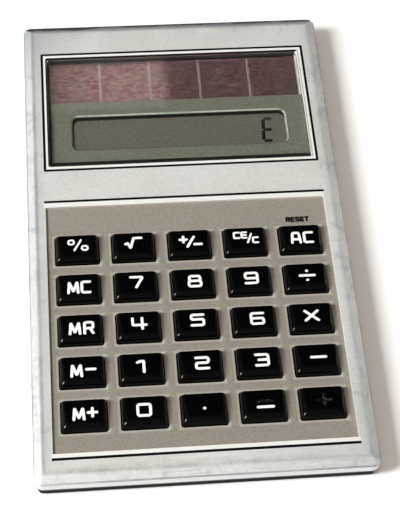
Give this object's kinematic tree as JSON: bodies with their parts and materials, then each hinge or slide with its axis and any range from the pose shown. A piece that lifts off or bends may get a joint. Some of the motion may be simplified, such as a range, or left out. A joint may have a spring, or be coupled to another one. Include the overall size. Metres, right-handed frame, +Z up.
{
  "type": "solar calculator",
  "caption": "Flat pocket calculator with a pressed metal face, a window over solar cells and a liquid-crystal display, and sprung keys that press down into a panel.",
  "frame": {"origin": "middle of the underside, on the table", "axes": "+X across the case, +Y towards the display end, +Z up out of the face"},
  "size_m": [0.071, 0.1186, 0.0082],
  "materials": {
    "satin_aluminium": "satin anodised sheet with scuffed edges",
    "taupe_plastic": "fine matt moulding",
    "pale_plastic": "pale moulding",
    "black_plastic": "black textured moulding",
    "key_plastic": "gloss black moulding",
    "screw_steel": "zinc plated",
    "clear_acrylic": "clear polished acrylic",
    "bezel_plastic": "grey-green satin",
    "cell_glass": "thin-film cells behind glass",
    "foam": "closed-cell foam",
    "contact_rubber": "carbon-filled rubber",
    "polariser": "polarising film",
    "display_glass": "polished glass",
    "reflector": "pearl reflector film",
    "board_laminate": "paper laminate",
    "chip_resin": "black potting resin",
    "capacitor_can": "sleeved aluminium can",
    "diode_glass": "glass body",
    "resistor_lacquer": "lacquered body",
    "silicone": "moulded silicone"
  },
  "bodies": {
    "case": {"faceplate": "satin_aluminium", "key_panel": "taupe_plastic", "front_case": "pale_plastic", "rear_cover": "black_plastic", "case_screws": "screw_steel", "window_lens": "clear_acrylic", "display_bezel": "bezel_plastic", "solar_panel": "cell_glass", "solar_pads": "foam", "cell_contacts": "contact_rubber", "front_polariser": "polariser", "lcd_front_glass": "display_glass", "lcd_rear_glass": "display_glass", "rear_reflector": "reflector", "lcd_connector": "contact_rubber", "main_board": "board_laminate", "chip_cover": "chip_resin", "supply_capacitor": "capacitor_can", "limiter_diode": "diode_glass", "bias_resistor": "resistor_lacquer", "rubber_mat": "silicone"},
    "key_percent": {"key_percent": "key_plastic"},
    "key_root": {"key_root": "key_plastic"},
    "key_sign": {"key_sign": "key_plastic"},
    "key_clear_entry": {"key_clear_entry": "key_plastic"},
    "key_all_clear": {"key_all_clear": "key_plastic"},
    "key_memory_clear": {"key_memory_clear": "key_plastic"},
    "key_7": {"key_7": "key_plastic"},
    "key_8": {"key_8": "key_plastic"},
    "key_9": {"key_9": "key_plastic"},
    "key_divide": {"key_divide": "key_plastic"},
    "key_memory_recall": {"key_memory_recall": "key_plastic"},
    "key_4": {"key_4": "key_plastic"},
    "key_5": {"key_5": "key_plastic"},
    "key_6": {"key_6": "key_plastic"},
    "key_multiply": {"key_multiply": "key_plastic"},
    "key_memory_minus": {"key_memory_minus": "key_plastic"},
    "key_1": {"key_1": "key_plastic"},
    "key_2": {"key_2": "key_plastic"},
    "key_3": {"key_3": "key_plastic"},
    "key_minus": {"key_minus": "key_plastic"},
    "key_memory_plus": {"key_memory_plus": "key_plastic"},
    "key_0": {"key_0": "key_plastic"},
    "key_point": {"key_point": "key_plastic"},
    "key_equals": {"key_equals": "key_plastic"},
    "key_plus": {"key_plus": "key_plastic"}
  },
  "joints": [
    {"name": "key_percent_press", "type": "slide", "parent": "case", "child": "key_percent", "axis": [0, 0, -1], "range_m": [0, 0.0008], "stiffness_N_per_m": 800, "deforming": ["rubber_mat"]},
    {"name": "key_root_press", "type": "slide", "parent": "case", "child": "key_root", "axis": [0, 0, -1], "range_m": [0, 0.0008], "stiffness_N_per_m": 800, "deforming": ["rubber_mat"]},
    {"name": "key_sign_press", "type": "slide", "parent": "case", "child": "key_sign", "axis": [0, 0, -1], "range_m": [0, 0.0008], "stiffness_N_per_m": 800, "deforming": ["rubber_mat"]},
    {"name": "key_clear_entry_press", "type": "slide", "parent": "case", "child": "key_clear_entry", "axis": [0, 0, -1], "range_m": [0, 0.0008], "stiffness_N_per_m": 800, "deforming": ["rubber_mat"]},
    {"name": "key_all_clear_press", "type": "slide", "parent": "case", "child": "key_all_clear", "axis": [0, 0, -1], "range_m": [0, 0.0008], "stiffness_N_per_m": 800, "deforming": ["rubber_mat"]},
    {"name": "key_memory_clear_press", "type": "slide", "parent": "case", "child": "key_memory_clear", "axis": [0, 0, -1], "range_m": [0, 0.0008], "stiffness_N_per_m": 800, "deforming": ["rubber_mat"]},
    {"name": "key_7_press", "type": "slide", "parent": "case", "child": "key_7", "axis": [0, 0, -1], "range_m": [0, 0.0008], "stiffness_N_per_m": 800, "deforming": ["rubber_mat"]},
    {"name": "key_8_press", "type": "slide", "parent": "case", "child": "key_8", "axis": [0, 0, -1], "range_m": [0, 0.0008], "stiffness_N_per_m": 800, "deforming": ["rubber_mat"]},
    {"name": "key_9_press", "type": "slide", "parent": "case", "child": "key_9", "axis": [0, 0, -1], "range_m": [0, 0.0008], "stiffness_N_per_m": 800, "deforming": ["rubber_mat"]},
    {"name": "key_divide_press", "type": "slide", "parent": "case", "child": "key_divide", "axis": [0, 0, -1], "range_m": [0, 0.0008], "stiffness_N_per_m": 800, "deforming": ["rubber_mat"]},
    {"name": "key_memory_recall_press", "type": "slide", "parent": "case", "child": "key_memory_recall", "axis": [0, 0, -1], "range_m": [0, 0.0008], "stiffness_N_per_m": 800, "deforming": ["rubber_mat"]},
    {"name": "key_4_press", "type": "slide", "parent": "case", "child": "key_4", "axis": [0, 0, -1], "range_m": [0, 0.0008], "stiffness_N_per_m": 800, "deforming": ["rubber_mat"]},
    {"name": "key_5_press", "type": "slide", "parent": "case", "child": "key_5", "axis": [0, 0, -1], "range_m": [0, 0.0008], "stiffness_N_per_m": 800, "deforming": ["rubber_mat"]},
    {"name": "key_6_press", "type": "slide", "parent": "case", "child": "key_6", "axis": [0, 0, -1], "range_m": [0, 0.0008], "stiffness_N_per_m": 800, "deforming": ["rubber_mat"]},
    {"name": "key_multiply_press", "type": "slide", "parent": "case", "child": "key_multiply", "axis": [0, 0, -1], "range_m": [0, 0.0008], "stiffness_N_per_m": 800, "deforming": ["rubber_mat"]},
    {"name": "key_memory_minus_press", "type": "slide", "parent": "case", "child": "key_memory_minus", "axis": [0, 0, -1], "range_m": [0, 0.0008], "stiffness_N_per_m": 800, "deforming": ["rubber_mat"]},
    {"name": "key_1_press", "type": "slide", "parent": "case", "child": "key_1", "axis": [0, 0, -1], "range_m": [0, 0.0008], "stiffness_N_per_m": 800, "deforming": ["rubber_mat"]},
    {"name": "key_2_press", "type": "slide", "parent": "case", "child": "key_2", "axis": [0, 0, -1], "range_m": [0, 0.0008], "stiffness_N_per_m": 800, "deforming": ["rubber_mat"]},
    {"name": "key_3_press", "type": "slide", "parent": "case", "child": "key_3", "axis": [0, 0, -1], "range_m": [0, 0.0008], "stiffness_N_per_m": 800, "deforming": ["rubber_mat"]},
    {"name": "key_minus_press", "type": "slide", "parent": "case", "child": "key_minus", "axis": [0, 0, -1], "range_m": [0, 0.0008], "stiffness_N_per_m": 800, "deforming": ["rubber_mat"]},
    {"name": "key_memory_plus_press", "type": "slide", "parent": "case", "child": "key_memory_plus", "axis": [0, 0, -1], "range_m": [0, 0.0008], "stiffness_N_per_m": 800, "deforming": ["rubber_mat"]},
    {"name": "key_0_press", "type": "slide", "parent": "case", "child": "key_0", "axis": [0, 0, -1], "range_m": [0, 0.0008], "stiffness_N_per_m": 800, "deforming": ["rubber_mat"]},
    {"name": "key_point_press", "type": "slide", "parent": "case", "child": "key_point", "axis": [0, 0, -1], "range_m": [0, 0.0008], "stiffness_N_per_m": 800, "deforming": ["rubber_mat"]},
    {"name": "key_equals_press", "type": "slide", "parent": "case", "child": "key_equals", "axis": [0, 0, -1], "range_m": [0, 0.0008], "stiffness_N_per_m": 800, "deforming": ["rubber_mat"]},
    {"name": "key_plus_press", "type": "slide", "parent": "case", "child": "key_plus", "axis": [0, 0, -1], "range_m": [0, 0.0008], "stiffness_N_per_m": 800, "deforming": ["rubber_mat"]}
  ]
}
